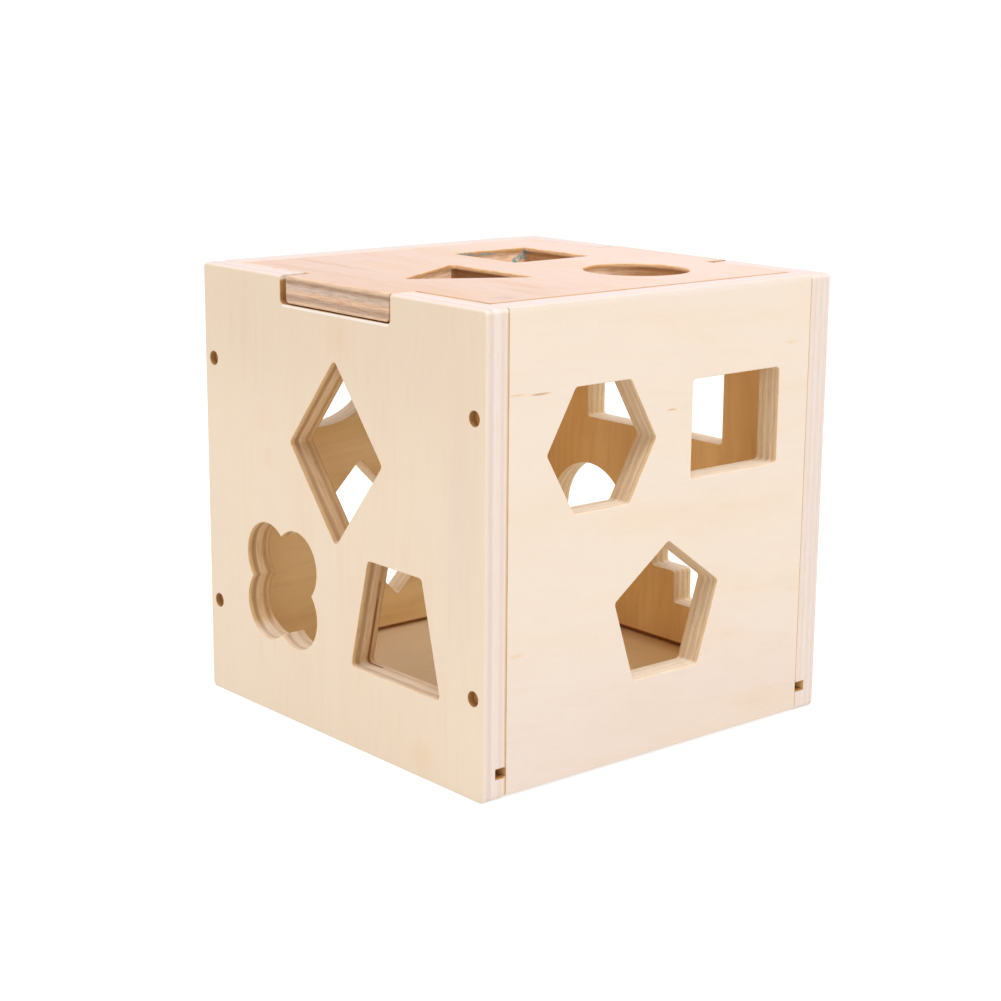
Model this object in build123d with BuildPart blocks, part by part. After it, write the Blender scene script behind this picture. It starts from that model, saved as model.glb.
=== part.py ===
from build123d import *
import math
import os

os.makedirs("parts", exist_ok=True)

# Shape sorter: a plywood cube with a lift-off lid, for posting shaped blocks.
# Two full-depth side walls overlap the ends of the front and back walls and are dowelled to them.
# A thin floor sits in a groove that runs round the inside of all four walls.
# The lid drops between the walls and hangs by two tabs in notches in the side walls.
# The lid and each wall have three sorting holes.
# Millimetres. +Z is up, the front wall faces -Y, and the origin is the middle of the footprint.

# ---- Box ----
overall_width = 149.0          # X, over the outer faces of the side walls
overall_depth = 150.0          # Y, over the outer faces of the front and back walls
overall_height = 151.0         # Z, from the feet of the side walls to the rim
side_thickness = 9.0           # left and right walls
front_thickness = 9.0          # front and back walls
front_foot_gap = 0.8           # the front and back walls stop this far above the table
side_corner_radius = 1.8       # the four corners of a side wall's outline
rim_radius = 1.2               # the upper outer edge of a side wall
left_foot_radius = 2.4         # the left wall's lower inner edge, sanded round
glue_line = 0.1                # between a side wall and the end of the front or back wall

# ---- Floor and its groove ----
floor_thickness = 2.5
groove_bottom_height = 7.2     # above the table
groove_play = 0.3              # groove height left open above the floor
groove_depth = 4.0             # into each wall
floor_edge_gap = 0.3           # between the floor's edge and the end of the groove

# ---- Lid, tabs and notches ----
lid_thickness = 9.0
lid_gap = 0.8                  # between the lid's edge and each wall
lid_seat_gap = 0.4             # between a tab and the floor of its notch
tab_width = 55.2
notch_play = 3.8               # the notch's width over the tab's
left_tab_shift = -1.4          # Y of each tab's and notch's centre line
right_tab_shift = 0.3
left_notch_shift = 0.0
right_notch_shift = -0.6
tab_corner_radius = 2.0
notch_corner_radius = 1.5

# ---- Dowels ----
dowel_diameter = 4.6
dowel_length = 18.0
dowel_recess = 2.0             # from the side wall's outer face to the dowel's end
dowel_side_gap = 0.05          # round the dowel
dowel_end_gap = 0.5            # beyond the dowel's inner end
dowel_inset = 5.0              # from the front or back edge of a side wall to a dowel's axis
dowel_end_distance = 32.5      # from the rim and from the table to a dowel's axis

# ---- Sorting holes: centres are (across, up) on a wall and (X, Y) on the lid ----
hole_corner_radius = 1.5       # of every straight-sided hole

rhombus_width, rhombus_height = 50.0, 60.8
rhombus_centre = (0.0, 96.4)
flower_lobe_radius = 12.0
flower_lobe_offset = 8.2       # from the hole's centre to a lobe's centre, across and up
flower_centre = (31.2, 46.0)
trapezoid_top, trapezoid_bottom, trapezoid_height = 27.4, 46.0, 37.0
trapezoid_centre = (-31.0, 46.1)

hexagon_radius = 22.8
hexagon_centre = (-27.4, 105.0)
block_width, block_height = 40.0, 32.3
block_centre = (31.2, 105.7)
pentagon_radius = 24.3
pentagon_centre = (2.1, 46.4)

slot_width, slot_height = 69.5, 32.0
slot_centre = (-1.75, 103.5)
wheel_radius = 20.8
wheel_centre = (31.7, 48.8)
cross_span = 41.0
cross_arm_width = 17.4
cross_centre = (-23.4, 46.0)

oval_width, oval_height = 47.0, 30.6
oval_centre = (-32.0, 105.5)
star_tip_radius = 22.5
star_notch_radius = 11.5
star_centre = (31.5, 103.5)
brick_length, brick_width = 50.4, 26.0
brick_tilt = -45.0             # degrees from the horizontal
brick_centre = (-7.1, 49.0)

lid_square_side = 34.5
lid_square_centre = (26.5, 26.8)
lid_round_radius = 17.8
lid_round_centre = (29.0, -29.5)
lid_triangle_side = 44.0
lid_triangle_centre = (-24.1, -3.3)

# ---- Worked out from the sizes above ----
inside_width = overall_width - 2 * side_thickness
inside_depth = overall_depth - 2 * front_thickness
groove_height = floor_thickness + groove_play
groove_middle_height = groove_bottom_height + groove_height / 2
front_wall_width = inside_width - 2 * glue_line
front_wall_height = overall_height - front_foot_gap
lid_width = inside_width - 2 * lid_gap
lid_depth = inside_depth - 2 * lid_gap
tab_length = (overall_width - lid_width) / 2
notch_width = tab_width + notch_play
notch_depth = lid_thickness + lid_seat_gap
notch_floor_height = overall_height - notch_depth
dowel_hole_diameter = dowel_diameter + 2 * dowel_side_gap
dowel_y = overall_depth / 2 - dowel_inset
dowel_heights = (dowel_end_distance, overall_height - dowel_end_distance)
dowel_outer_x = overall_width / 2 - dowel_recess
dowel_bore_x = dowel_outer_x - dowel_length - dowel_end_gap   # inner end of a dowel's hole
dowel_bore_reach = overall_width / 2 - dowel_bore_x


# ---- Outlines of the sorting holes, each about its own centre ----
def outline(points):
    """A straight-sided hole with its corners rounded as the cutter leaves them."""
    with BuildSketch() as shape:
        with BuildLine():
            Polyline(*points, close=True)
        make_face()
        fillet(shape.vertices(), hole_corner_radius)
    return shape.sketch


def regular_outline(radius, sides, first_corner):
    """A regular polygon with one corner at the angle first_corner, in degrees."""
    angles = [math.radians(first_corner + 360 * i / sides) for i in range(sides)]
    return outline([(radius * math.cos(a), radius * math.sin(a)) for a in angles])


def rectangle_outline(width, height, tilt=0.0):
    with BuildSketch() as shape:
        Rectangle(width, height, rotation=tilt)
        fillet(shape.vertices(), hole_corner_radius)
    return shape.sketch


def rhombus_outline():
    half_width = rhombus_width / 2
    half_height = rhombus_height / 2
    return outline([(half_width, 0), (0, half_height), (-half_width, 0), (0, -half_height)])


def trapezoid_outline():
    half_top = trapezoid_top / 2
    half_bottom = trapezoid_bottom / 2
    half_height = trapezoid_height / 2
    return outline(
        [
            (-half_bottom, -half_height),
            (half_bottom, -half_height),
            (half_top, half_height),
            (-half_top, half_height),
        ]
    )


def flower_outline():
    """Four round lobes about a square that fills the middle."""
    lobe_span = 2 * flower_lobe_offset
    with BuildSketch() as shape:
        with GridLocations(lobe_span, lobe_span, 2, 2):
            Circle(flower_lobe_radius)
        Rectangle(lobe_span, lobe_span)
    return shape.sketch


def cross_outline():
    with BuildSketch() as shape:
        Rectangle(cross_span, cross_arm_width)
        Rectangle(cross_arm_width, cross_span)
        fillet(shape.vertices(), hole_corner_radius)
    return shape.sketch


def star_outline(points=5):
    """A star with one tip straight up."""
    corners = []
    for i in range(2 * points):
        radius = star_tip_radius if i % 2 == 0 else star_notch_radius
        angle = math.radians(90 + 180 * i / points)
        corners.append((radius * math.cos(angle), radius * math.sin(angle)))
    return outline(corners)


def oval_outline():
    with BuildSketch() as shape:
        Ellipse(oval_width / 2, oval_height / 2)
    return shape.sketch


def round_outline(radius):
    with BuildSketch() as shape:
        Circle(radius)
    return shape.sketch


left_holes = [
    (rhombus_outline(), rhombus_centre),
    (flower_outline(), flower_centre),
    (trapezoid_outline(), trapezoid_centre),
]
front_holes = [
    (regular_outline(hexagon_radius, 6, 0), hexagon_centre),
    (rectangle_outline(block_width, block_height), block_centre),
    (regular_outline(pentagon_radius, 5, 90), pentagon_centre),
]
right_holes = [
    (rectangle_outline(slot_width, slot_height), slot_centre),
    (round_outline(wheel_radius), wheel_centre),
    (cross_outline(), cross_centre),
]
back_holes = [
    (oval_outline(), oval_centre),
    (star_outline(), star_centre),
    (rectangle_outline(brick_length, brick_width, brick_tilt), brick_centre),
]
lid_holes = [
    (rectangle_outline(lid_square_side, lid_square_side), lid_square_centre),
    (round_outline(lid_round_radius), lid_round_centre),
    (regular_outline(lid_triangle_side / math.sqrt(3), 3, 180), lid_triangle_centre),
]


# ---- Side walls ----
# side is -1 for the left wall and 1 for the right wall.
for side, name, sorting_holes, notch_shift in (
    (-1, "left_wall", left_holes, left_notch_shift),
    (1, "right_wall", right_holes, right_notch_shift),
):
    outer_x = side * overall_width / 2
    outer_face = Plane.YZ.offset(outer_x)
    with BuildPart() as side_wall:
        with BuildSketch(outer_face) as face:
            with Locations((0, overall_height / 2)):
                Rectangle(overall_depth, overall_height)
            fillet(face.vertices(), side_corner_radius)
            with Locations((notch_shift, notch_floor_height)):
                Rectangle(notch_width, 2 * notch_depth, align=(Align.CENTER, Align.MIN), mode=Mode.SUBTRACT)
            notch_corners = [v for v in face.vertices() if abs(v.Y - notch_floor_height) < 0.01]
            fillet(notch_corners, notch_corner_radius)
            for shape, centre in sorting_holes:
                with Locations(centre):
                    add(shape, mode=Mode.SUBTRACT)
            with Locations(*[(y, z) for y in (-dowel_y, dowel_y) for z in dowel_heights]):
                Circle(dowel_hole_diameter / 2, mode=Mode.SUBTRACT)
        extrude(amount=-side * side_thickness)
        with Locations((side * (inside_width + groove_depth) / 2, 0, groove_middle_height)):
            Box(groove_depth, overall_depth, groove_height, mode=Mode.SUBTRACT)
        with BuildSketch(Plane.XZ):
            with Locations((side * (overall_width - rim_radius) / 2, overall_height - rim_radius / 2)):
                Rectangle(rim_radius, rim_radius)
            with Locations((side * (overall_width / 2 - rim_radius), overall_height - rim_radius)):
                Circle(rim_radius, mode=Mode.SUBTRACT)
        extrude(amount=overall_depth / 2, both=True, mode=Mode.SUBTRACT)
        if side < 0:
            with BuildSketch(Plane.XZ):
                with Locations((-inside_width / 2 - left_foot_radius, left_foot_radius)):
                    Rectangle(left_foot_radius, left_foot_radius, align=(Align.MIN, Align.MAX))
                    Circle(left_foot_radius, mode=Mode.SUBTRACT)
            extrude(amount=overall_depth / 2, both=True, mode=Mode.SUBTRACT)
    side_wall.part.label = name
    export_step(side_wall.part, f"parts/{name}.step")


# ---- Front and back walls ----
# side is -1 for the front wall and 1 for the back wall.
for side, name, sorting_holes in ((-1, "front_wall", front_holes), (1, "back_wall", back_holes)):
    outer_face = Plane(origin=(0, side * overall_depth / 2, 0), x_dir=(1, 0, 0), z_dir=(0, -1, 0))
    with BuildPart() as cross_wall:
        with BuildSketch(outer_face):
            with Locations((0, front_foot_gap)):
                Rectangle(front_wall_width, front_wall_height, align=(Align.CENTER, Align.MIN))
            for shape, centre in sorting_holes:
                with Locations(centre):
                    add(shape, mode=Mode.SUBTRACT)
        extrude(amount=side * front_thickness)
        with Locations((0, side * (inside_depth + groove_depth) / 2, groove_middle_height)):
            Box(front_wall_width, groove_depth, groove_height, mode=Mode.SUBTRACT)
        for end in (-1, 1):
            bore_end = Plane(origin=(end * dowel_bore_x, 0, 0), x_dir=(0, 1, 0), z_dir=(1, 0, 0))
            with BuildSketch(bore_end):
                with Locations(*[(side * dowel_y, z) for z in dowel_heights]):
                    Circle(dowel_hole_diameter / 2)
            extrude(amount=end * dowel_bore_reach, mode=Mode.SUBTRACT)
    cross_wall.part.label = name
    export_step(cross_wall.part, f"parts/{name}.step")


# ---- Floor ----
with BuildPart() as bottom_panel:
    with BuildSketch(Plane.XY.offset(groove_bottom_height)):
        edge_reach = 2 * (groove_depth - floor_edge_gap)
        Rectangle(inside_width + edge_reach, inside_depth + edge_reach)
    extrude(amount=floor_thickness)
bottom_panel.part.label = "bottom_panel"
export_step(bottom_panel.part, "parts/bottom_panel.step")


# ---- Lid ----
with BuildPart() as lid:
    with BuildSketch(Plane.XY.offset(overall_height - lid_thickness)):
        Rectangle(lid_width, lid_depth)
        with Locations((-overall_width / 4, left_tab_shift), (overall_width / 4, right_tab_shift)):
            Rectangle(overall_width / 2, tab_width)
        for shape, centre in lid_holes:
            with Locations(centre):
                add(shape, mode=Mode.SUBTRACT)
    extrude(amount=lid_thickness)
    lower_edges = lid.edges().filter_by(Axis.X).group_by(Axis.Z)[0]
    tab_edges = lower_edges.filter_by(lambda edge: abs(edge.length - tab_length) < 0.01)
    fillet(tab_edges, tab_corner_radius)
lid.part.label = "lid"
export_step(lid.part, "parts/lid.step")


# ---- Dowels ----
for side, side_name in ((-1, "left"), (1, "right")):
    for y, edge_name in ((-dowel_y, "front"), (dowel_y, "back")):
        for z, height_name in zip(dowel_heights, ("lower", "upper")):
            name = f"dowel_{side_name}_{edge_name}_{height_name}"
            with BuildPart() as dowel:
                with BuildSketch(Plane.YZ.offset(side * dowel_outer_x)):
                    with Locations((y, z)):
                        Circle(dowel_diameter / 2)
                extrude(amount=-side * dowel_length)
            dowel.part.label = name
            export_step(dowel.part, f"parts/{name}.step")
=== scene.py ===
import math

import bpy
from mathutils import Matrix, Vector

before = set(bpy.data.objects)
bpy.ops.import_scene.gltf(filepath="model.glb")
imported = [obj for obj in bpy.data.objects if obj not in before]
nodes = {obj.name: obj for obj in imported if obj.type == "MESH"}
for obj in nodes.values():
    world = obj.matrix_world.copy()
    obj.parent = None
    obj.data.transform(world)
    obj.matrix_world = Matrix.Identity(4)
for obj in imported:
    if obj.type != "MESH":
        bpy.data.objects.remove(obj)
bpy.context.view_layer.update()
MM = 0.001


# ---------- node graphs ----------
class Graph:
    """Adds shader nodes by short calls. A value is a number, a tuple or another node's output."""

    def __init__(self, name):
        self.material = bpy.data.materials.new(name)
        self.material.use_nodes = True
        self.tree = self.material.node_tree
        self.tree.nodes.clear()

    def node(self, kind, inputs=None, **settings):
        n = self.tree.nodes.new(kind)
        for key, value in settings.items():
            setattr(n, key, value)
        for key, value in (inputs or {}).items():
            self.put(n.inputs[key], value)
        return n

    def put(self, socket, value):
        if isinstance(value, bpy.types.NodeSocket):
            self.tree.links.new(value, socket)
        else:
            socket.default_value = value

    def math(self, op, a, b=0.0):
        return self.node("ShaderNodeMath", {0: a, 1: b}, operation=op).outputs[0]

    def add(self, a, b):
        return self.math("ADD", a, b)

    def sub(self, a, b):
        return self.math("SUBTRACT", a, b)

    def mul(self, a, b):
        return self.math("MULTIPLY", a, b)

    def most(self, *values):
        out = values[0]
        for v in values[1:]:
            out = self.math("MAXIMUM", out, v)
        return out

    def span(self, value, lo, hi, out_lo=0.0, out_hi=1.0):
        """value from lo..hi to out_lo..out_hi, eased and clamped."""
        n = self.node(
            "ShaderNodeMapRange",
            {"Value": value, "From Min": lo, "From Max": hi, "To Min": out_lo, "To Max": out_hi},
            interpolation_type="SMOOTHSTEP",
        )
        return n.outputs[0]

    def mix(self, share, a, b, blend="MIX"):
        n = self.node("ShaderNodeMix", data_type="RGBA", blend_type=blend, clamp_factor=True)
        self.put(n.inputs[0], share)
        self.put(n.inputs[6], a)
        self.put(n.inputs[7], b)
        return n.outputs[2]

    def shade(self, colour, share, tone):
        """colour multiplied by tone, as far as share says."""
        return self.mix(share, colour, tone, "MULTIPLY")

    def noise(self, vector, detail, rough):
        n = self.node(
            "ShaderNodeTexNoise", {"Vector": vector, "Scale": 1.0, "Detail": detail, "Roughness": rough})
        return n.outputs["Fac"]

    def stretched(self, vector, sizes, move=0.0):
        """Coordinates in which one unit is sizes (mm) along each axis. move sets the noise apart."""
        n = self.node("ShaderNodeMapping", {"Vector": vector})
        n.inputs["Location"].default_value = (move, move * 1.7, move * 2.3)
        n.inputs["Scale"].default_value = [1.0 / (s * MM) for s in sizes]
        return n.outputs[0]

    def ramp(self, value, stops):
        n = self.node("ShaderNodeValToRGB", {"Fac": value})
        r = n.color_ramp
        while len(r.elements) < len(stops):
            r.elements.new(1.0)
        for e, (at, colour) in zip(r.elements, stops):
            e.position = at
            e.color = colour
        return n.outputs["Color"]

    def zone(self, xyz, lo, hi, soft):
        """1 between the corners lo and hi (mm), with edges soft mm wide outside them.
        None leaves that side open."""
        out = 1.0
        for value, low, high in zip(xyz, lo, hi):
            if low is not None:
                out = self.mul(out, self.span(value, (low - soft) * MM, low * MM))
            if high is not None:
                out = self.mul(out, self.span(value, high * MM, (high + soft) * MM, 1.0, 0.0))
        return out

    def spot(self, here, centre, sizes, soft=1.0):
        """1 at centre (mm), falling to 0 at sizes (mm) away along each axis."""
        n = self.node("ShaderNodeMapping", {"Vector": here})
        n.inputs["Location"].default_value = [-c / s for c, s in zip(centre, sizes)]
        n.inputs["Scale"].default_value = [1.0 / (s * MM) for s in sizes]
        far = self.node("ShaderNodeVectorMath", {0: n.outputs[0]}, operation="LENGTH").outputs["Value"]
        return self.span(far, 1.0 - soft, 1.0, 1.0, 0.0)


# Tone of a cut edge by depth, from the outer face (0) to the inner face (1).
PLIES = (
    (0.00, (1.00, 0.96, 0.88)), (0.08, (1.02, 0.99, 0.94)), (0.13, (0.99, 0.97, 0.94)),
    (0.165, (0.84, 0.80, 0.74)), (0.22, (0.91, 0.89, 0.85)), (0.27, (1.06, 1.07, 1.06)),
    (0.33, (0.97, 0.97, 0.96)), (0.41, (0.88, 0.86, 0.84)), (0.50, (0.92, 0.91, 0.90)),
    (0.60, (1.08, 1.09, 1.08)), (0.66, (1.00, 1.00, 0.98)), (0.73, (0.86, 0.83, 0.78)),
    (0.80, (0.94, 0.91, 0.86)), (0.86, (1.04, 1.01, 0.93)), (0.94, (0.98, 0.92, 0.80)),
    (1.00, (0.92, 0.83, 0.66)),
)
LEFT_PLIES = (
    (0.00, (1.06, 1.00, 0.88)), (0.10, (1.04, 0.97, 0.84)), (0.15, (0.92, 0.83, 0.70)),
    (0.20, (0.66, 0.56, 0.45)), (0.30, (0.64, 0.54, 0.44)), (0.36, (0.92, 0.88, 0.82)),
    (0.42, (1.12, 1.12, 1.10)), (0.52, (1.00, 0.99, 0.96)), (0.60, (1.10, 1.08, 1.04)),
    (0.66, (0.92, 0.84, 0.72)), (0.73, (0.74, 0.62, 0.46)), (0.80, (0.86, 0.74, 0.56)),
    (0.86, (1.04, 0.96, 0.80)), (0.93, (0.98, 0.88, 0.70)), (1.00, (0.86, 0.72, 0.50)),
)
LID_PLIES = (
    (0.00, (1.16, 1.10, 1.02)), (0.09, (1.12, 1.04, 0.92)), (0.13, (0.84, 0.76, 0.66)),
    (0.18, (0.60, 0.50, 0.42)), (0.25, (0.70, 0.62, 0.57)), (0.32, (0.95, 0.95, 0.98)),
    (0.41, (0.94, 0.93, 0.97)), (0.49, (1.10, 0.99, 0.88)), (0.59, (1.20, 1.04, 0.88)),
    (0.66, (0.88, 0.77, 0.67)), (0.74, (0.70, 0.62, 0.56)), (0.84, (0.82, 0.74, 0.68)),
    (0.90, (1.10, 1.00, 0.86)), (0.96, (1.10, 0.96, 0.76)), (1.00, (0.92, 0.74, 0.50)),
)


AXES = "XYZ"
# Where the tone of an outer rim sets in and where it is full (mm).
TOP_RIM = (149.2, 149.8)
FOOT_RIM = (1.6, 1.0)
WALL_END_RIM = (72.8, 73.4)
LID_SIDE_RIM = (74.1, 74.4)
PLY_SCALE = 1.25  # the ramp holds the plies' tones divided by this, which keeps them below 1


def metres(limits):
    return [v * MM for v in limits]


class Board(Graph):
    """A plywood material. sheet is the axis across the sheet and grain the axis along its veneer."""

    def __init__(self, name, sheet, grain, seed):
        super().__init__(name)
        self.sheet = sheet
        self.grain = grain
        self.seed = seed
        coords = self.node("ShaderNodeTexCoord")
        self.here = coords.outputs["Object"]
        self.xyz = self.node("ShaderNodeSeparateXYZ", {0: self.here}).outputs
        self.normal = self.node("ShaderNodeSeparateXYZ", {0: coords.outputs["Normal"]}).outputs

    def texture(self, sizes, step, detail, rough):
        """Noise with features of about sizes (mm). step sets it apart from the board's others."""
        return self.noise(self.stretched(self.here, sizes, self.seed * step), detail, rough)

    def grain_noises(self, slope, slope_axis):
        """Noises drawn out along the grain: broad figure, medium lines, fine lines and pores."""
        wander = self.texture((60, 60, 60), 7, 2.0, 0.5)
        swing = self.mul(self.sub(wander, 0.5), 10 * MM)
        lift = self.add(swing, self.mul(self.xyz[AXES.index(slope_axis)], slope))
        bent = self.node("ShaderNodeCombineXYZ")
        for i, axis in enumerate(AXES):
            self.put(bent.inputs[i], self.xyz[i] if axis == self.grain else self.add(self.xyz[i], lift))
        noises = []
        for length, width, step, detail, rough in (
            (130.0, 16.0, 1, 2.5, 0.55),
            (46.0, 2.6, 3, 3.0, 0.6),
            (9.0, 0.42, 5, 3.0, 0.65),
            (5.0, 0.22, 11, 1.0, 0.5),
        ):
            sizes = [length if axis == self.grain else width for axis in AXES]
            place = self.stretched(bent.outputs[0], sizes, self.seed * step)
            noises.append(self.noise(place, detail, rough))
        return noises

    def veneer(self, noises, inside, face, inner, figure):
        """The outer veneer's colour, or where inside is 1 the inner faces' colour, which carries painted
        warm shade, with the wood's figure.
        """
        broad, medium, fine, pores = noises
        cloud = self.texture((14, 14, 14), 2, 3.0, 0.6)
        colour = self.mix(inside, face, inner)
        for share, tone in (
            (self.span(broad, 0.42, 0.72, 0.0, figure), (0.985, 0.945, 0.84, 1)),
            (self.span(cloud, 0.35, 0.75, 0.0, 0.35), (0.97, 0.965, 0.975, 1)),
            (self.span(medium, 0.50, 0.78, 0.0, 0.40), (0.965, 0.93, 0.87, 1)),
            (self.span(fine, 0.40, 0.80, 0.0, 0.26), (0.93, 0.90, 0.86, 1)),
            (self.span(pores, 0.74, 0.82, 0.0, 0.28), (0.80, 0.68, 0.52, 1)),
            (self.mul(inside, self.span(broad, 0.35, 0.65)), (0.93, 0.89, 0.84, 1)),
            (self.mul(inside, self.span(medium, 0.40, 0.70)), (0.95, 0.93, 0.90, 1)),
        ):
            colour = self.shade(colour, share, tone)
        return colour

    def plies(self, depth, stops):
        """Tones of the plies, which waver a little along the cut edge."""
        wave = self.texture((22, 22, 22), 13, 2.0, 0.5)
        level = self.add(depth, self.mul(self.sub(wave, 0.5), 0.05))
        band = self.ramp(level, [(at, tuple(v / PLY_SCALE for v in k) + (1.0,)) for at, k in stops])
        return self.shade(band, 1.0, (PLY_SCALE, PLY_SCALE, PLY_SCALE, 1))

    def border(self, wall):
        """1 on a wall's outer rim, or at another piece's far left and right, and 0 elsewhere."""
        if not wall:
            return self.span(self.math("ABSOLUTE", self.xyz[0]), *metres(LID_SIDE_RIM))
        z = self.xyz[2]
        rim = self.most(self.span(z, *metres(TOP_RIM)), self.span(z, *metres(FOOT_RIM)))
        if self.sheet == "X":
            rim = self.most(rim, self.span(self.math("ABSOLUTE", self.xyz[1]), *metres(WALL_END_RIM)))
        return rim

    def wall_edge(self, cut, border):
        """A wall's cut edges that face up, with painted light and shade: its top rim is painted darker
        against the overhead light, and the floors of its holes are painted paler, as if lit from above.
        """
        above = self.span(self.normal[2], 0.56, 0.95)
        floors = self.mul(above, self.sub(1.0, border))
        # painted shade on the top rim, painted light on the hole floors
        cut = self.shade(cut, self.mul(above, border), RIM_TOP_SHADE)
        cut = self.shade(cut, floors, SIDE_FLOOR_LIGHT if self.sheet == "X" else FRONT_FLOOR_LIGHT)
        return self.mix(self.mul(floors, 0.45), cut, LIT_HOLE_FLOOR)

    def lid_edge(self, cut, border, depth):
        """Painted light and shade on the cut edges of the lid, the floor panel and the dowels that face
        -X or -Y: their tones change with the way they face.
        """
        below_top_ply = self.span(depth, 0.12, 0.19)
        # edges facing -X: painted light on the top ply, painted shade below it
        left = self.mul(self.span(self.normal[0], -0.35, -0.95), self.sub(1.0, border))
        left_light_and_shade = self.mix(below_top_ply, (1.10, 1.16, 1.25, 1), (0.74, 0.57, 0.40, 1))
        cut = self.shade(cut, left, left_light_and_shade)
        # edges facing -Y: painted shade on the top ply, painted light below it
        front = self.mul(self.span(self.normal[1], -0.35, -0.9), self.span(self.normal[0], -0.35, 0.05))
        front_light_and_shade = self.mix(below_top_ply, (0.86, 0.80, 0.68, 1), (1.55, 1.74, 2.05, 1))
        return self.shade(cut, front, front_light_and_shade)

    def across(self, along_sheet, through_sheet):
        """Sizes that are the same in the sheet's plane and differ through it."""
        return [through_sheet if axis == self.sheet else along_sheet for axis in AXES]


def plywood(name, sheet, grain, outer, inward, face, inner, edge, seed, thick=9.0, plies=PLIES,
            spots=(), flecks=(), fades=(), slope=0.0, slope_axis="X", rim=None, rim_tone=0.35, zones=(),
            figure=0.5, arris=(0.72, 0.97), wear=1.0, lip=(), smears=(), wall=True):
    """Plywood, with places and sizes in mm. sheet and grain are as in Board.
    outer is where the outer face lies and inward the sign of the way in from it.
    face, inner and edge are the colours of the outer veneer, the inner faces, which carry painted warm
    shade, and a cut edge.
    rim is the cut edge's colour on the border, where the plies show with the strength rim_tone.
    plies are the cut edge's tones over the depth thick, and wear is how much it is streaked.
    arris is how squarely a surface faces along sheet where veneer sets in and where it is full.
    slope tilts the grain as it runs along slope_axis, and figure is the strength of the grain.
    The veneer takes tones from spots (centre, sizes, tone, share), from flecks, which are spots
    broken up by the grain, from fades (axis, start, end, tone) and from lip (corner, corner, soft, tone).
    The cut edge takes colours from zones (corner, corner, soft, colour, share) and from
    smears (centre, sizes, colour). wall is true for a wall, false for lid, floor and dowels."""
    g = Board(name, sheet, grain, seed)
    through = AXES.index(sheet)
    facing = g.mul(g.normal[through], -inward)
    face_mask = g.span(g.math("ABSOLUTE", facing), *arris)
    inside = g.span(facing, 0.1, -0.1)

    noises = g.grain_noises(slope, slope_axis)
    medium, fine, pores = noises[1:]
    veneer = g.veneer(noises, inside, face, inner, figure)
    for centre, sizes, tone, share in spots:
        veneer = g.shade(veneer, g.mul(g.spot(g.here, centre, sizes), share), tone)
    for axis, start, end, tone in fades:
        veneer = g.shade(veneer, g.span(g.xyz[AXES.index(axis)], start * MM, end * MM), tone)
    for lo, hi, soft, tone in lip:
        veneer = g.shade(veneer, g.zone(g.xyz, lo, hi, soft), tone)
    for centre, sizes, tone, share in flecks:
        broken = g.span(medium, 0.30, 0.55, 0.3, share)
        veneer = g.shade(veneer, g.mul(g.spot(g.here, centre, sizes, 0.7), broken), tone)

    depth = g.mul(g.sub(g.xyz[through], outer * MM), inward / (thick * MM))
    border = g.border(wall)
    strength = g.span(border, 0.0, 1.0, 1.0, rim_tone)
    cut = g.shade(g.mix(border, edge, rim or edge), strength, g.plies(depth, plies))
    cut = g.wall_edge(cut, border) if wall else g.lid_edge(cut, border, depth)
    for lo, hi, soft, colour, share in zones:
        cut = g.mix(g.mul(g.zone(g.xyz, lo, hi, soft), share), cut, colour)
    streak = g.texture(g.across(7.0, 0.34), 17, 3.0, 0.6)
    speck = g.texture(g.across(1.3, 0.8), 19, 3.0, 0.7)
    streaked = g.mul(g.span(streak, 0.42, 0.72, 0.0, 0.85 * wear), strength)
    cut = g.shade(cut, streaked, (0.78, 0.71, 0.63, 1))
    specked = g.mul(g.span(speck, 0.56, 0.76, 0.0, 0.6 * wear), strength)
    cut = g.shade(cut, specked, (0.74, 0.64, 0.53, 1))
    for centre, sizes, colour in smears:
        ragged = g.span(g.texture((1.3, 1.3, 1.1), 23, 3.0, 0.6), 0.36, 0.54, 0.0, 0.85)
        cut = g.mix(g.mul(g.spot(g.here, centre, sizes, 0.7), ragged), cut, colour)

    bump = g.node("ShaderNodeBump", {"Strength": 0.35, "Distance": 0.00008})
    g.put(bump.inputs["Height"], g.mix(face_mask, g.add(streak, speck), g.add(fine, pores)))
    shader = g.node(
        "ShaderNodeBsdfPrincipled",
        {"Base Color": g.mix(face_mask, cut, veneer), "IOR": 1.45, "Specular IOR Level": 0.3,
         "Normal": bump.outputs[0], "Roughness": g.span(medium, 0.3, 0.7, 0.58, 0.72)},
    )
    g.node("ShaderNodeOutputMaterial", {"Surface": shader.outputs[0]})
    return g


LEFT_FACE = (0.742, 0.602, 0.463, 1)
FRONT_FACE = (0.738, 0.622, 0.520, 1)
# The lid's top is darker than the walls' faces: painted shade that offsets the strong overhead light.
DIMMED_LID_FACE = (0.600, 0.462, 0.405, 1)
# The inner faces are more golden than the outer ones: painted warm shade inside the box.
SHADED_INNER = (0.90, 0.64, 0.31, 1)
SHADED_RIGHT_INNER = (0.90, 0.60, 0.265, 1)
SHADED_BACK_INNER = (0.96, 0.755, 0.435, 1)
EDGE = (0.755, 0.577, 0.388, 1)
LEFT_EDGE = (0.695, 0.500, 0.305, 1)
# The right and back walls' cut edges are more golden: painted warm shade inside the box.
FAR_EDGE = (0.79, 0.585, 0.350, 1)
RIM = (0.710, 0.600, 0.540, 1)
LID_EDGE = (0.66, 0.43, 0.255, 1)
# Painted shade in the floor groove's ends and in the dowel bores.
GROOVE_SHADE = (0.40, 0.19, 0.05, 1)
BORE_SHADE = (0.42, 0.23, 0.08, 1)
DOWEL = (0.62, 0.37, 0.15, 1)
# Dark lid edges: partly painted shade of the lid's rounded edge, partly its worn edge.
LID_EDGE_SHADE_AND_WEAR = (0.50, 0.27, 0.11, 1)
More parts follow.
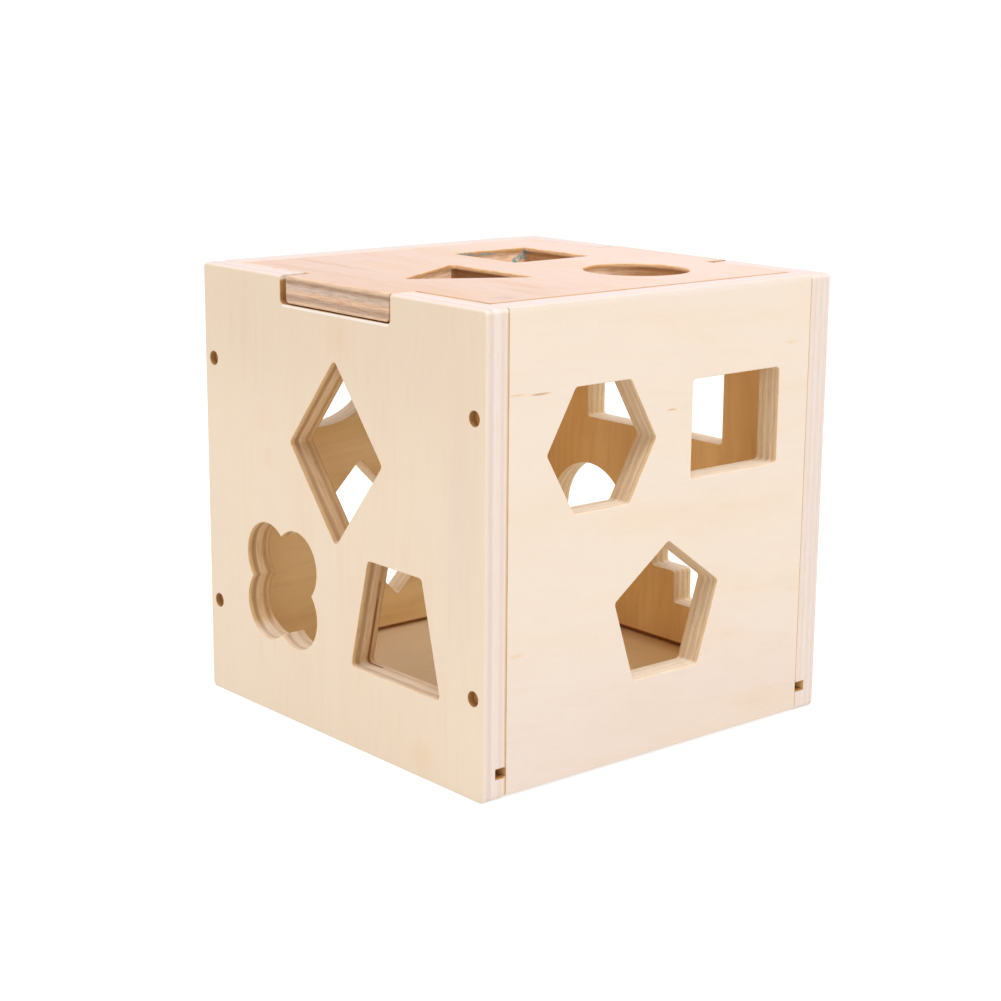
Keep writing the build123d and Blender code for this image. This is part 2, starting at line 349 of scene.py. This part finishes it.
# Painted shade in the crease where the floor meets the walls.
FLOOR_CREASE_SHADE = (0.32, 0.15, 0.07, 1)
FLOOR_FACE = (0.85, 0.71, 0.51, 1)
LID_RIM = (0.60, 0.45, 0.35, 1)
# Painted light and shade on the walls' upward cut edges: paler hole floors, as if lit from above, and a
# darker top rim.
LIT_HOLE_FLOOR = (0.80, 0.69, 0.575, 1)
RIM_TOP_SHADE = (0.85, 0.835, 0.885, 1)
SIDE_FLOOR_LIGHT = (1.16, 1.31, 1.66, 1)
FRONT_FLOOR_LIGHT = (1.09, 1.22, 1.47, 1)
# A dark band on the lid's top at its front edge: partly painted shade of the rounded edge, partly its
# wear.
LID_LIP_SHADE_AND_WEAR = (0.80, 0.62, 0.46, 1)

# The ends of a side wall's floor groove and its dowel bores are darker than its other cut edges: painted
# shade in these recesses.
side_grooves = [
    ((lo, None, 6.9), (hi, None, 10.3), 0.15, GROOVE_SHADE, 1.0) for lo, hi in ((-69.6, -65.4), (65.4, 69.6))
]
bore_zones = [
    ((None, y - 2.9, z - 2.9), (None, y + 2.9, z + 2.9), 0.2, BORE_SHADE, 1.0)
    for y in (-70, 70) for z in (32.5, 118.5)
]
made = {}
made["left_wall"] = plywood(
    "left_wall_birch", "X", "Z", -74.5, 1, LEFT_FACE, SHADED_INNER, LEFT_EDGE, 1.3, plies=LEFT_PLIES, rim=RIM,
    rim_tone=0.24, figure=0.25,
    spots=(
        ((-74.5, -2, 134), (30, 11, 12), (1.0, 0.955, 0.90, 1), 0.8),
        ((-74.5, 41, 102), (30, 7, 6), (1.0, 0.965, 0.94, 1), 0.8),
        ((-74.5, 38, 89), (30, 6, 6), (1.0, 0.96, 0.93, 1), 0.8),
        ((-74.5, -45, 7), (30, 9, 8), (0.985, 0.94, 0.87, 1), 0.9),
        ((-74.5, 55, 132), (30, 30, 30), (0.965, 0.965, 0.95, 1), 0.7),
        ((-74.5, 0, 150), (30, 120, 50), (0.965, 0.96, 0.95, 1), 0.9),
        ((-74.5, -64, 85), (30, 14, 55), (0.96, 0.955, 1.0, 1), 0.9),
    ),
    fades=(("Z", 84, 128, (0.965, 0.955, 0.950, 1)),),
    lip=(
        ((None, -28.5, 140.9), (-74, 28, 142), 0.5, (1.16, 1.30, 1.55, 1)),
        # painted shade in the crease above the floor
        ((-66, None, 8.8), (None, None, 10.9), 0.5, FLOOR_CREASE_SHADE),
    ),
    zones=[
        *side_grooves,
        *bore_zones,
        ((-73.9, -30.5, 141.3), (None, 30.5, 148.8), 0.8, (0.34, 0.17, 0.05, 1), 0.9),
        # painted shade on the walls of two holes
        ((None, 1, 66), (None, 26, 95), 1.5, (0.46, 0.30, 0.16, 1), 0.3),
        ((None, -20, 30), (None, -6, 64), 1.5, (0.46, 0.31, 0.17, 1), 0.2),
        ((-68.1, -19, 28), (-67.6, -5, 50), 0.4, (0.27, 0.08, 0.02, 1), 0.85),
        ((-68.1, -19, 50), (-67.7, -5, 56), 0.6, (0.30, 0.13, 0.05, 1), 0.6),
        ((-68.1, -16, 26.5), (-67.6, -5, 28), 0.4, (0.32, 0.11, 0.04, 1), 0.8),
        ((-66.1, None, None), (None, -74, 149.4), 0.25, (0.58, 0.40, 0.23, 1), 0.85),
        ((None, None, 4), (-74.25, -74.6, 149.6), 0.2, (0.80, 0.61, 0.38, 1), 0.6),
    ],
)
made["right_wall"] = plywood(
    "right_wall_birch", "X", "Z", 74.5, -1, LEFT_FACE, SHADED_RIGHT_INNER, FAR_EDGE, 2.7, rim=RIM, figure=0.35,
    spots=(
        ((65.5, 18, 84), (5, 24, 34), (0.90, 0.86, 0.84, 1), 0.9),
        ((65.5, -5, 24), (5, 20, 20), (1.05, 1.07, 1.04, 1), 0.9),
    ),
    lip=(
        ((None, None, 145), (66, None, None), 1.0, (0.88, 1.08, 2.0, 1)),
        # painted shade in the crease above the floor
        ((None, None, 8.8), (66, None, 10.9), 0.5, FLOOR_CREASE_SHADE),
    ),
    zones=[
        *side_grooves,
        *bore_zones,
        ((None, -31, 140.5), (73.9, 30, 150.7), 0.3, (0.46, 0.28, 0.14, 1), 0.9),
    ])
made["front_wall"] = plywood(
    "front_wall_birch", "Y", "X", -75.0, 1, FRONT_FACE, SHADED_INNER, EDGE, 4.1, rim=RIM, slope=0.1,
    spots=(
        ((30, -75, 76), (60, 30, 14), (0.99, 0.965, 0.90, 1), 0.8),
        ((-10, -75, 80), (30, 30, 9), (0.99, 0.965, 0.90, 1), 0.7),
        ((48, -75, 9), (22, 30, 8), (0.995, 0.97, 0.93, 1), 0.8),
    ),
    # painted shade darkening the face towards the bottom, and a painted highlight along its top edge
    fades=(("Z", 62, 10, (0.963, 0.955, 0.985, 1)), ("Z", 148.4, 150.4, (1.03, 1.06, 1.12, 1))),
    # painted shade in the crease above the floor
    lip=(((None, -67, 8.8), (None, None, 10.9), 0.5, FLOOR_CREASE_SHADE),),
    # painted shade at the floor groove's opening
    zones=[((None, None, 6.9), (-65, None, 10.3), 0.15, (0.72, 0.43, 0.18, 1), 0.9)],
    flecks=(
        ((-53, -75, 124.2), (5.5, 30, 0.5), (0.72, 0.50, 0.34, 1), 1.0),
        ((-62, -75, 124.8), (6.0, 30, 0.4), (0.95, 0.80, 0.60, 1), 1.0),
        ((2, -75, 113.2), (3.0, 30, 0.45), (0.85, 0.68, 0.52, 1), 1.0),
        ((-62, -75, 44.5), (4.0, 30, 0.9), (0.98, 0.90, 0.80, 1), 1.0),
        ((57, -75, 129.5), (5.0, 30, 0.8), (0.98, 0.92, 0.82, 1), 1.0),
    ),
)
made["back_wall"] = plywood(
    "back_wall_birch", "Y", "X", 75.0, -1, FRONT_FACE, SHADED_BACK_INNER, FAR_EDGE, 5.9, rim=RIM, slope=-0.05,
    # painted shade in the crease above the floor
    lip=(((None, None, 8.8), (None, 67, 10.7), 0.4, FLOOR_CREASE_SHADE),),
    spots=(
        ((-20, 66, 84), (24, 5, 24), (1.03, 1.07, 1.10, 1), 1.0),
        ((0, 66, 17), (24, 5, 24), (1.0, 0.96, 0.87, 1), 1.0),
    ))
made["lid"] = plywood(
    # the lid's face colour carries painted shade against the overhead light
    "lid_birch", "Z", "Y", 151.0, -1, DIMMED_LID_FACE, SHADED_INNER, LID_EDGE, 7.2, plies=LID_PLIES,
    rim=LID_RIM, rim_tone=0.95, arris=(0.93, 0.985), wear=1.7, wall=False,
    slope=-0.15, slope_axis="Y", figure=0.8,
    spots=(
        ((-66, -10, 151), (26, 60, 30), (0.97, 0.93, 0.88, 1), 0.9),
        ((-53, -58, 151), (7, 6, 30), (0.88, 0.86, 0.87, 1), 0.9),
        ((-30, -50, 151), (30, 20, 30), (0.98, 0.96, 0.93, 1), 0.7),
    ),
    flecks=(
        ((-44, 42, 151), (3.0, 32, 30), (0.92, 0.85, 0.77, 1), 0.9),
        ((-59, 30, 151), (3.5, 40, 30), (0.94, 0.89, 0.83, 1), 0.8),
        ((-29, -35, 151), (5, 22, 30), (0.95, 0.88, 0.79, 1), 0.9),
        ((-17, 58, 151), (3, 12, 30), (0.96, 0.90, 0.82, 1), 0.8),
        ((-38, -52, 151), (4, 16, 30), (0.95, 0.91, 0.86, 1), 0.8),
        ((8, -40, 151), (5, 26, 30), (0.97, 0.94, 0.90, 1), 0.8),
    ),
    fades=(("X", 60, -64, (0.925, 0.880, 0.835, 1)),),
    # partly painted shade of the lid's rounded front edge, partly its wear
    lip=(
        ((None, None, 140), (None, -64.8, None), 0.5, LID_LIP_SHADE_AND_WEAR),
        ((None, None, 140), (-64.3, -29.3, None), 0.5, LID_LIP_SHADE_AND_WEAR),
    ),
    zones=[
        # dark lid edges: partly painted shade, partly wear
        ((None, None, 140), (None, -64.6, 152), 0.1, LID_EDGE_SHADE_AND_WEAR, 0.9),
        ((-65, None, 140), (-64.0, -29.3, 152), 0.1, LID_EDGE_SHADE_AND_WEAR, 0.9),
        ((-65, 26.0, 140), (-64.0, 29.6, 152), 0.1, LID_EDGE_SHADE_AND_WEAR, 0.9),
        ((-65, 29.9, 140), (-64.0, None, 152), 0.1, RIM, 0.8),
        ((65.2, None, 140), (None, -26.8, 152), 0.3, (0.46, 0.28, 0.15, 1), 0.85),
        ((-12.4, -27, None), (-10.4, 20.5, 149.3), 0.4, (0.13, 0.045, 0.01, 1), 0.6),
    ],
    smears=(
        ((14.5, 44, 149.8), (6.5, 3, 1.5), (0.10, 0.30, 0.36, 1)),
        ((25, 44, 149.6), (6.0, 3, 0.9), (0.20, 0.30, 0.30, 1)),
        ((43.2, 44, 148.6), (1.7, 3, 2.8), (0.03, 0.14, 0.20, 1)),
        ((41.0, 44, 147.4), (2.2, 3, 1.9), (0.08, 0.30, 0.32, 1)),
        ((38.9, 44, 146.2), (2.3, 3, 2.2), (0.06, 0.38, 0.44, 1)),
    ),
)
made["bottom_panel"] = plywood(
    "floor_birch", "Z", "X", 9.7, -1, FLOOR_FACE, FLOOR_FACE, EDGE, 8.8, thick=2.5,
    spots=(((49, -20, 9.7), (50, 45, 30), (0.97, 0.86, 0.66, 1), 1.0),), wall=False,
    # painted shade, darker towards the walls
    fades=(
        ("X", 55, 67, (0.66, 0.48, 0.34, 1)),
        ("X", -60, -67, (0.70, 0.52, 0.38, 1)),
        ("Y", 62, 67, (0.66, 0.50, 0.38, 1)),
        ("Y", -60, -67, (0.70, 0.52, 0.38, 1)),
    ))
dowel_birch = plywood(
    "dowel_birch", "Z", "X", 0.0, 1, DOWEL, DOWEL, DOWEL, 9.9, thick=140.0, wear=1.2, wall=False)

# ---------- pieces ----------
EASE = 0.0003  # m, how far an edge is eased
LID_EASE = 0.0005


def ease(piece, width):
    """Rounds the piece's sharp edges by width (m), with flat faces that stay flat."""
    weld = piece.modifiers.new("weld", "WELD")
    weld.merge_threshold = 1e-6
    flat = piece.modifiers.new("join_flat_faces", "DECIMATE")
    flat.decimate_type = "DISSOLVE"
    flat.angle_limit = math.radians(0.5)
    bevel = piece.modifiers.new("eased_edges", "BEVEL")
    bevel.width = width
    bevel.segments = 2
    bevel.limit_method = "ANGLE"
    bevel.angle_limit = math.radians(35)
    bevel.use_clamp_overlap = False
    bevel.loop_slide = False
    even = piece.modifiers.new("even_normals", "WEIGHTED_NORMAL")
    even.mode = "FACE_AREA_WITH_ANGLE"
    even.weight = 100
    even.keep_sharp = False


for name, piece in nodes.items():
    mesh = piece.data
    mesh.materials.clear()
    mesh.materials.append((made[name] if name in made else dowel_birch).material)
    if "custom_normal" in mesh.attributes:
        mesh.attributes.remove(mesh.attributes["custom_normal"])
    ease(piece, LID_EASE if name == "lid" else EASE)
    for poly in mesh.polygons:
        poly.use_smooth = True

# ---------- stage ----------
world = bpy.data.worlds.new("studio")
world.use_nodes = True
background = world.node_tree.nodes["Background"]
background.inputs["Color"].default_value = (1.0, 1.0, 1.0, 1.0)
background.inputs["Strength"].default_value = 1.0
bpy.context.scene.world = world

g = Graph("stage_white")
shader = g.node(
    "ShaderNodeBsdfPrincipled",
    {"Base Color": (0.35, 0.35, 0.35, 1), "Roughness": 1.0, "Specular IOR Level": 0.0,
     "Emission Color": (1, 1, 1, 1), "Emission Strength": 0.68},
)
g.node("ShaderNodeOutputMaterial", {"Surface": shader.outputs[0]})
mesh = bpy.data.meshes.new("floor")
mesh.from_pydata([(-8, -8, 0), (8, -8, 0), (8, 8, 0), (-8, 8, 0)], [], [(0, 1, 2, 3)])
mesh.materials.append(g.material)
floor = bpy.data.objects.new("floor", mesh)
bpy.context.scene.collection.objects.link(floor)


def area(name, at, aim, size, watts):
    """A round soft light at a place, turned to aim."""
    light = bpy.data.lights.new(name, "AREA")
    light.shape = "DISK"
    light.size = size
    light.energy = watts
    o = bpy.data.objects.new(name, light)
    o.location = at
    o.rotation_euler = (Vector(aim) - Vector(at)).to_track_quat("-Z", "Y").to_euler()
    bpy.context.scene.collection.objects.link(o)


area("key", (0.12, -0.52, 1.36), (0, 0, 0.07), 0.6, 9.0)
area("left_fill", (-0.50, -0.05, 1.36), (0, 0, 0.07), 0.6, 5.0)

# ---------- camera ----------
cam_data = bpy.data.cameras.new("camera")
cam_data.sensor_width = 36.0
cam_data.lens = 74.65
cam_data.clip_start = 0.05
cam_data.clip_end = 30.0
camera = bpy.data.objects.new("camera", cam_data)
bpy.context.scene.collection.objects.link(camera)
eye = Vector((-0.4540, -0.5294, 0.2332))
target = Vector((-0.00351, 0.00149, 0.07064))
look = (target - eye).to_track_quat("-Z", "Y")
roll = math.radians(0.452)
camera.matrix_world = Matrix.Translation(eye) @ look.to_matrix().to_4x4() @ Matrix.Rotation(roll, 4, "Z")
bpy.context.scene.camera = camera

view = bpy.context.scene.view_settings
view.view_transform = "Standard"
view.look = "None"
view.exposure = 0.0
view.gamma = 1.0
